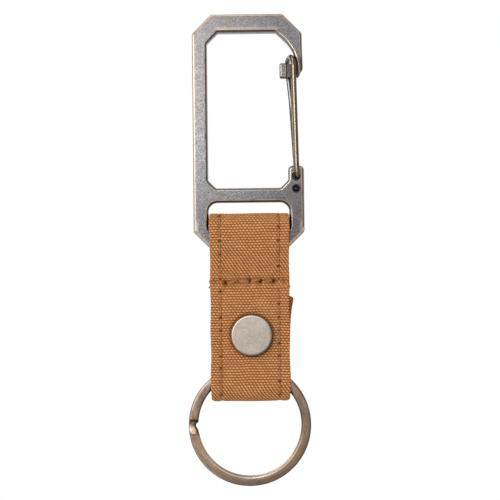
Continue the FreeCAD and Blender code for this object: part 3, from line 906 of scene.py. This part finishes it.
weaving, weave_in, weave_out = new_group(
    "plain_weave", ["Yarns"], {"Drawn": 0.0, "Slub": 0.22}, ["Relief", "Yarn Tone", "Fibre"])
across, along, _ = split(weave_in["Yarns"])
row = maths("ROUND", along)
column = maths("ROUND", across)
off_row = maths("SUBTRACT", along, row)
swing = ramp(weave_in["Drawn"], drawn_swing, weft_swing)
lean = ramp(weave_in["Drawn"], drawn_lean, weft_lean)
flatness = times(weave_in["Drawn"], drawn_flatness)
rib = ramp(maths("POWER", most(half_wave(off_row), 0.0), rib_power), rest(flatness), flatness)
weft_over = half_wave(maths("ADD", maths("SUBTRACT", across, times(lean, off_row)), row))
weft = times(rib, rest(times(swing, rest(weft_over))))
warp_over = half_wave(maths("ADD", along, column))
warp_crown = half_wave(maths("SUBTRACT", across, column))
warp = times(warp_crown, ramp(warp_over, -0.5 * warp_rise, 0.5 * warp_rise))
tone_place = combined(times(across, weave_in["Slub"]), times(row, row_stride), 0.0)
fibre_place = combined(weighted(along, fibre_along, across, fibre_slant), times(across, fibre_across), 0.0)
join(most(weft, warp), weave_out["Relief"])
join(cloud(tone_place, *tone_noise), weave_out["Yarn Tone"])
join(cloud(fibre_place, *fibre_noise), weave_out["Fibre"])

canvas_tan, shader = finish("tan_canvas", 0.0)
join(canvas_roughness, shader.inputs["Roughness"])
join(canvas_sheen, shader.inputs["Sheen Weight"])
join(canvas_sheen_roughness, shader.inputs["Sheen Roughness"])
join(canvas_crown, shader.inputs["Sheen Tint"])
join(cloth_gloss, shader.inputs["Specular IOR Level"])
tree = canvas_tan.node_tree
yarns = add_node(tree, "ShaderNodeUVMap", {}, uv_map="yarns").outputs["UV"]
drawn = add_node(tree, "ShaderNodeAttribute", {}, attribute_name="drawn").outputs["Fac"]
sunk_shade = add_node(tree, "ShaderNodeAttribute", {}, attribute_name="sunk_shade").outputs["Fac"]
weave = add_node(tree, "ShaderNodeGroup", {"Yarns": yarns, "Drawn": drawn}, node_tree=weaving).outputs
# Colour follows the relief: the darkening into the gaps is painted shade.
cloth = layered(
    canvas_dark_yarn_and_shade,
    (fade(weave["Relief"], *middle_range), canvas_middle),
    (fade(weave["Relief"], *crown_range), canvas_crown),
    (times(fade(weave["Yarn Tone"], *dark_yarn_range), dark_yarn_share), canvas_dark_yarn_and_shade),
    (times(fade(weave["Fibre"], *pale_fibre_range), pale_fibre_share), canvas_crown),
    # Painted shade where the band is sunk, darkest in the needle holes.
    (times(sunk_shade, sunk_shade_share), canvas_dark_yarn_and_shade),
    (fade(sunk_shade, *hole_range), shaded(canvas_dark_yarn_and_shade, hole_shade)))
join(cloth, shader.inputs["Base Color"])
bump(shader, weave["Fibre"], fibre_strength, fibre_depth)
for piece in (canvas_loop, canvas_drop):
    piece.data.materials.append(canvas_tan)
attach(canvas_loop, "strap")
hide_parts("strap_face", "strap_lining")
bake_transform(canvas_drop)
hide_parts("flap_face", "flap_lining")

# Stitching: doubled thread in the canvas's own colour, two lines along the edges, one row across below
# the plate and one at the flap's free end. Each stitch is a short arch between two needle holes.
thread_dark = (0.230, 0.088, 0.026)
thread_light = (0.500, 0.215, 0.085)
thread_roughness = 0.7
thread_radius = 0.00021
thread_twist = 900.0
thread_waver = 1.0
thread_strength = 0.6
thread_depth = 0.00005
stitch_length = 0.0030
stitch_rise = 0.00022
stitch_crown = 1.3
stitch_steps = 6
stitch_lift = 0.00066
cross_lift = 0.00056
cross_margin = 0.0003
fold_clearance = 0.0012
hem_level = tail_end - 0.0016
hem_side = tail_side + 0.0004
sewing = bpy.data.node_groups.new("stitches", "GeometryNodeTree")
sewing_inputs = {
    "Needle Points": "NodeSocketGeometry", "Stitch Length": "NodeSocketFloat",
    "Thread Radius": "NodeSocketFloat", "Rise": "NodeSocketFloat", "Thread": "NodeSocketMaterial"}
for label, kind in sewing_inputs.items():
    sewing.interface.new_socket(label, in_out="INPUT", socket_type=kind)
sewing.interface.new_socket("Stitches", in_out="OUTPUT", socket_type="NodeSocketGeometry")
sew_in = sewing.nodes.new("NodeGroupInput").outputs
sew_out = sewing.nodes.new("NodeGroupOutput").inputs


def needle_value(label):
    """A vector that each needle point carries."""
    feeds = {"Name": label}
    node = add_node(sewing, "GeometryNodeInputNamedAttribute", feeds, data_type="FLOAT_VECTOR")
    return node.outputs["Attribute"]


half_length = times(sew_in["Stitch Length"], 0.5)
depth = times(sew_in["Rise"], -1.0)
arch = add_node(sewing, "GeometryNodeCurveQuadraticBezier", {
    "Resolution": stitch_steps,
    "Start": combined(times(half_length, -1.0), 0.0, depth),
    "Middle": combined(0.0, 0.0, times(sew_in["Rise"], stitch_crown)),
    "End": combined(half_length, 0.0, depth)})
strand = add_node(sewing, "GeometryNodeCurvePrimitiveCircle", {
    "Resolution": stitch_steps, "Radius": sew_in["Thread Radius"]})
stitch = add_node(sewing, "GeometryNodeCurveToMesh", {
    "Curve": arch.outputs["Curve"], "Profile Curve": strand.outputs["Curve"], "Fill Caps": True})
laid = add_node(sewing, "FunctionNodeAlignRotationToVector", {
    "Vector": needle_value("along")}, axis="X", pivot_axis="AUTO")
turned = add_node(sewing, "FunctionNodeAlignRotationToVector", {
    "Rotation": laid.outputs["Rotation"], "Vector": needle_value("outward")}, axis="Z", pivot_axis="X")
row_of_stitches = add_node(sewing, "GeometryNodeInstanceOnPoints", {
    "Points": sew_in["Needle Points"], "Instance": stitch.outputs["Mesh"],
    "Rotation": turned.outputs["Rotation"], "Scale": needle_value("swell")})
real_stitches = add_node(sewing, "GeometryNodeRealizeInstances", {
    "Geometry": row_of_stitches.outputs["Instances"]})
coloured = add_node(sewing, "GeometryNodeSetMaterial", {
    "Geometry": real_stitches.outputs["Geometry"], "Material": sew_in["Thread"]})
join(coloured.outputs["Geometry"], sew_out["Stitches"])

thread_finish, shader = finish("sewing_thread", 0.0)
join(thread_roughness, shader.inputs["Roughness"])
join(cloth_gloss, shader.inputs["Specular IOR Level"])
twist_feeds = {"Vector": spot(shader)[0], "Scale": thread_twist, "Distortion": thread_waver}
twist = add_node(shader.id_data, "ShaderNodeTexWave", twist_feeds, bands_direction="DIAGONAL")
join(layered(thread_dark, (twist.outputs["Fac"], thread_light)), shader.inputs["Base Color"])
bump(shader, twist.outputs["Fac"], thread_strength, thread_depth)


def sew(name, stitches):
    """Stitches as one plain mesh, from (place, along, outward, swell) rows."""
    places, along, outward, swell = (np.array(v, dtype=np.float32) for v in zip(*stitches))
    points = bpy.data.meshes.new(name + "_points")
    points.from_pydata(places.tolist(), [], [])
    for label, values in (("along", along), ("outward", outward), ("swell", swell)):
        layer = points.attributes.new(label, "FLOAT_VECTOR", "POINT")
        layer.data.foreach_set("vector", values.reshape(-1))
    holder = bpy.data.objects.new(name + "_points", points)
    scene.collection.objects.link(holder)
    work = holder.modifiers.new("sewing", "NODES")
    work.node_group = sewing
    sockets = {item.name: item.identifier for item in sewing.interface.items_tree if item.in_out == "INPUT"}
    work[sockets["Stitch Length"]] = stitch_length
    work[sockets["Thread Radius"]] = thread_radius
    work[sockets["Rise"]] = stitch_rise
    work[sockets["Thread"]] = thread_finish
    bpy.context.view_layer.update()
    mesh = bpy.data.meshes.new_from_object(holder.evaluated_get(bpy.context.evaluated_depsgraph_get()))
    mesh.name = name
    mesh.polygons.foreach_set("use_smooth", np.ones(len(mesh.polygons), dtype=bool))
    holder.modifiers.remove(work)
    bpy.data.objects.remove(holder)
    piece = bpy.data.objects.new(name, mesh)
    scene.collection.objects.link(piece)
    return piece


def stitch_rows(corners, start_run, side):
    """Edge stitches along a course, or only on its front (-1) or back (1) side clear of the fold."""
    spacing = 0.0001
    margin = 0.6 * stitch_pitch
    s, line, outward = cloth_course(corners, spacing)
    run = s + start_run
    stitches = []
    for k in range(int(run[0] / stitch_pitch), int(run[-1] / stitch_pitch) + 1):
        middle = (k + 0.5) * stitch_pitch
        if middle - margin < run[0] or middle + margin > run[-1]:
            continue
        i = int(np.searchsorted(run, middle))
        (y, z), (ny, nz) = line[i], outward[i]
        if side and (y * side < fold_clearance or z < fold_level + fold_clearance):
            continue
        lean = flap_lean(y, z) if side > 0 else 0.0
        for edge in (-1, 1):
            place = (edge * stitch_line + lean, y + ny * stitch_lift, z + nz * stitch_lift)
            stitches.append((place, (0, -nz, ny), (0, ny, nz), (1, 1, 1)))
    return stitches


def cross_row(y, z, facing, lean):
    """One row of plump, slanted stitches across the strap, uneven as sewn, on its front or back side."""
    length_share = 0.90
    height_share = 1.6
    count = int(2 * (stitch_line - cross_margin) / cross_pitch)
    row = []
    for i in range(count):
        slant = 0.20 + 0.22 * math.cos(2.4 * i + 0.5)
        drift = 0.00012 * math.sin(3.7 * i + 1.0)
        plump = 2.2 + 0.4 * math.sin(1.9 * i)
        across = (i - (count - 1) / 2) * cross_pitch
        place = (across + lean, y + facing * cross_lift, z + drift - seam_drift(across))
        row.append((place, (1, 0, slant), (0, facing, 0), (length_share, plump, height_share)))
    return row


strap_stitches = stitch_rows(loop_corners, 0.0, 0) + stitch_rows(drop_corners, drop_start, -1)
strap_stitches += cross_row(seam_front, seam_level, -1, 0.0) + cross_row(seam_back, seam_level, 1, 0.0)
strap_sewing = sew("strap_sewing", strap_stitches)
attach(strap_sewing, "strap")
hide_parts("strap_edge_stitching", "cross_seam_stitching")
flap_stitches = stitch_rows(drop_corners, drop_start, 1)
flap_stitches += cross_row(hem_side, hem_level, 1, flap_lean(hem_side, hem_level))
flap_sewing = sew("flap_sewing", flap_stitches)
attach(flap_sewing, "flap")
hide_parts("flap_edge_stitching", "flap_hem_stitching")

# Snap: a ring-spring snap pressed through the canvas. Cap and eyelet are satin nickel with a warm cast,
# the socket, stud and barrel plain nickel, the ring spring bright steel.
shell_marking = {"Breakup": 1100.0}
blast_noise = (2100.0, 2.0)
blotch_noise = (330.0, 4.0)
blast_share = 0.6
cast_range = (0.36, 0.62)
cast_shade = 0.78
shell_rim_share = 0.85
shell_shoulder_share = 0.80
shell_shoulder_shade = 0.34
shell_wall_shade = 0.24
shoulder_width = 0.0006
shell_shade_way = (0.7, -0.7)
shell_shade_range = (-0.0015, 0.0035)
turned_shade_share = 0.72
shell_grain_roughness = 0.22
shell_dent_noise = (900.0, 3.0)
shell_dent_strength = 0.15
shell_dent_depth = 0.00004


def length(first, second):
    """Length of two parts at right angles."""
    return maths("SQRT", maths("ADD", times(first, first), times(second, second)))


def nickel(name, face, rim, roughness, shoulder_radius):
    """Nickel finish; past the shoulder radius the shell turns down, and its low right side there is painted
    darker as shade.
    """
    material, shader = finish(name, 1.0)
    place, pointing = spot(shader)
    x, _, z = split(place)
    edge_marks = marked_edges(place, pointing, shell_marking)
    cast = blended(cloud(place, *blast_noise), blast_share, cloud(place, *blotch_noise))
    aside = maths("SUBTRACT", x, snap_middle)
    above = maths("SUBTRACT", z, snap_level)
    low = fade(weighted(aside, shell_shade_way[0], above, shell_shade_way[1]), *shell_shade_range)
    turned = fade(length(aside, above), shoulder_radius, shoulder_radius + shoulder_width)
    shell = layered(
        shaded(face, cast_shade),
        (fade(cast, *cast_range), face),
        (times(edge_marks["Rim"], shell_rim_share), rim),
        # Painted shade on the shoulder outside the rim, on the walls and on the low right of the
        # turned-down edge.
        (times(edge_marks["Shoulder Shade"], shell_shoulder_share), shaded(rim, shell_shoulder_shade)),
        (edge_marks["Wall"], shaded(rim, shell_wall_shade)),
        (times(turned, low, turned_shade_share), shaded(rim, shell_wall_shade)))
    join(shell, shader.inputs["Base Color"])
    smoothest = roughness - shell_grain_roughness / 2
    join(ramp(edge_marks["Grain"], shell_grain_roughness, smoothest), shader.inputs["Roughness"])
    bump(shader, cloud(place, *shell_dent_noise), shell_dent_strength, shell_dent_depth)
    return material


def dress(node_name, material):
    """Gives a node of the frame its finish."""
    mesh = nodes[node_name].data
    mesh.materials.clear()
    mesh.materials.append(material)


satin_nickel = nickel(
    "satin_nickel", face=(0.410, 0.354, 0.303), rim=(0.54, 0.47, 0.40),
    roughness=0.40, shoulder_radius=0.00495)
plain_nickel = nickel(
    "plain_nickel", face=(0.400, 0.380, 0.350), rim=(0.52, 0.50, 0.46),
    roughness=0.30, shoulder_radius=0.00450)
spring_steel = nickel(
    "spring_steel", face=(0.420, 0.420, 0.430), rim=(0.56, 0.56, 0.57),
    roughness=0.22, shoulder_radius=0.00450)
polished("cap_shell", "snap_cap", "strap", satin_nickel, has_flats=True)
polished("eyelet_shell", "snap_eyelet", "flap", satin_nickel, has_flats=True)
for name in ("snap_barrel", "snap_socket", "snap_stud"):
    dress(name, plain_nickel)
dress("snap_spring", spring_steel)

# Split ring: one flat wire in two turns with a jog on the left, plated in antique brass. The flat sides are
# slightly crowned and streaked along the wire; painted shade darkens the low edges, the walls and the gap
# at the jog, and painted highlights lie on the upper edges, along the foot's inner edge and on the facet at
# the jog.
ring_middle = (-0.00036, -0.11193)
ring_wire_middle = 0.01612
ring_half_width = 0.00138
ring_crown = 0.00022
ring_brown = (0.172, 0.120, 0.089)
ring_worn = (0.330, 0.245, 0.186)
ring_warm = (0.235, 0.135, 0.078)
ring_copper = (0.430, 0.270, 0.170)
# Painted highlight on the edges that face up and on the facet at the jog.
ring_highlight = (0.480, 0.380, 0.280)
# Painted highlight line along the inner edge of the foot.
ring_highlight_line = (0.620, 0.570, 0.550)
ring_painted_shade = (0.050, 0.036, 0.028)
ring_marking = {"Breakup": 500.0}
ring_roughness_ramp = (0.12, 0.25)
ring_streak_noise = (1.0, 3.0)
streaks_across = 3200.0
streaks_round = 4.0
ring_streak_share = 0.6
ring_blotch_noise = (520.0, 4.0)
ring_grain_noise = (1100.0, 4.0)
ring_grain_depth = 0.000004
wear_range = (0.36, 0.66)
crown_wear_and_light_ramp = (0.6, 0.4)
left_light_range = (-0.0060, -0.0150)
left_light_gain = 0.5
foot_shade_range = (-0.1215, -0.1285)
foot_shade_loss = 0.60
ring_shade_way = (0.30, -0.95)
ring_shade_range = (-0.75, 0.0)
ring_shade_ramp = (0.90, 0.10)
ring_wall_shade = 0.60
low_right_angle = 325
low_right_range = (0.80, 0.97)
warm_share = 0.45
thumb_angle = 210
thumb_range = (0.72, 0.92)
thumb_shade_loss = 0.55
copper_ramp = (0.35, 0.25)
foot_line_angle = 258
foot_line_range = (0.62, 1.0)
inmost_range = (0.01494, 0.01482)
inmost_shade = 0.55
highlight_line_radius = 0.01507
highlight_line_half_width = (0.00004, 0.00022)
highlight_line_share = 0.85
jog_side = (-0.0125, -0.0140)
jog_foot = -0.1121
past_facet_span = (-0.0029, -0.0023, -0.0018, -0.0013)
past_facet_shade = 0.55
facet_span = (-0.0016, -0.0010, -0.0008, 0.0)
facet_highlight_share = 0.9
facet_slant = 0.42
facet_inside_range = (0.016238, 0.015878)
facet_inside_shade = 0.85
end_range = (0.0021, 0.0018)
end_shade_range = (-0.0009, 0.0009)
ring_finish, shader = finish("antique_ring", 1.0)
place, pointing = spot(shader)
x, _, z = split(place)
to_x, _, to_z = split(pointing)
edge_marks = marked_edges(place, pointing, ring_marking)
right = maths("SUBTRACT", x, ring_middle[0])
up = maths("SUBTRACT", z, ring_middle[1])
radius = length(right, up)


def toward(degrees):
    """1 at an angle round the ring, counted up from its right, and less the further round from there."""
    angle = math.radians(degrees)
    return maths("DIVIDE", weighted(right, math.cos(angle), up, math.sin(angle)), radius)


turn = maths("ARCTAN2", up, right)
along_turn = combined(times(radius, streaks_across), times(turn, streaks_round), 0.0)
streak = cloud(along_turn, *ring_streak_noise)
wear = fade(blended(streak, ring_streak_share, cloud(place, *ring_blotch_noise)), *wear_range)
# Wear is painted lighter on the crown and on the left, as light, and darker at the foot, as shade.
wear = times(wear, ramp(fade(x, *left_light_range), left_light_gain, less(fade(z, *foot_shade_range), foot_shade_loss)))
off_middle = maths("DIVIDE", maths("SUBTRACT", radius, ring_wire_middle), ring_half_width)
crown = rest(times(off_middle, off_middle))
at_foot_line = fade(toward(foot_line_angle), *foot_line_range)
at_thumb = fade(toward(thumb_angle), *thumb_range)
at_low_right = fade(toward(low_right_angle), *low_right_range)
# Painted shade on the edges that point down, less at the thumb; the other edges get a painted highlight.
shaded_side = fade(weighted(to_x, ring_shade_way[0], to_z, ring_shade_way[1]), *ring_shade_range)
shaded_side = times(ramp(shaded_side, *ring_shade_ramp), less(at_thumb, thumb_shade_loss))
edge = maths("ADD", edge_marks["Rim"], edge_marks["Shoulder Shade"])
above_foot = maths("SUBTRACT", z, jog_foot)
at_jog = fade(x, *jog_side)
below_end = times(at_jog, fade(above_foot, *end_range))
inside_facet = fade(ramp(above_foot, -facet_slant, radius), *facet_inside_range)
plating = layered(
    ring_brown,
    (times(wear, ramp(crown, *crown_wear_and_light_ramp)), ring_worn),
    (times(at_low_right, warm_share), ring_warm),
    (times(at_thumb, ramp(wear, *copper_ramp)), ring_copper),
    (times(edge, rest(shaded_side)), ring_highlight),
    (times(edge_marks["Shoulder Shade"], shaded_side), ring_painted_shade),
    # Painted shade on the walls, at the innermost edge of the foot and in the gap below the jog's free end.
    (times(edge_marks["Wall"], ring_wall_shade), ring_painted_shade),
    (times(at_foot_line, fade(radius, *inmost_range), inmost_shade), ring_painted_shade),
    (times(at_foot_line, near(radius, highlight_line_radius, *highlight_line_half_width), highlight_line_share), ring_highlight_line),
    (times(at_jog, within(above_foot, *past_facet_span), past_facet_shade), ring_painted_shade),
    (times(at_jog, within(above_foot, *facet_span), facet_highlight_share), ring_highlight),
    (times(below_end, inside_facet, facet_inside_shade), ring_painted_shade),
    (times(below_end, fade(above_foot, *end_shade_range)), ring_painted_shade))
join(plating, shader.inputs["Base Color"])
join(ramp(streak, *ring_roughness_ramp), shader.inputs["Roughness"])
ring_grain = times(cloud(place, *ring_grain_noise), ring_grain_depth)
bump(shader, ramp(crown, ring_crown, ring_grain))
polished("two_turn_ring", "split_ring", "ring", ring_finish, has_flats=True)
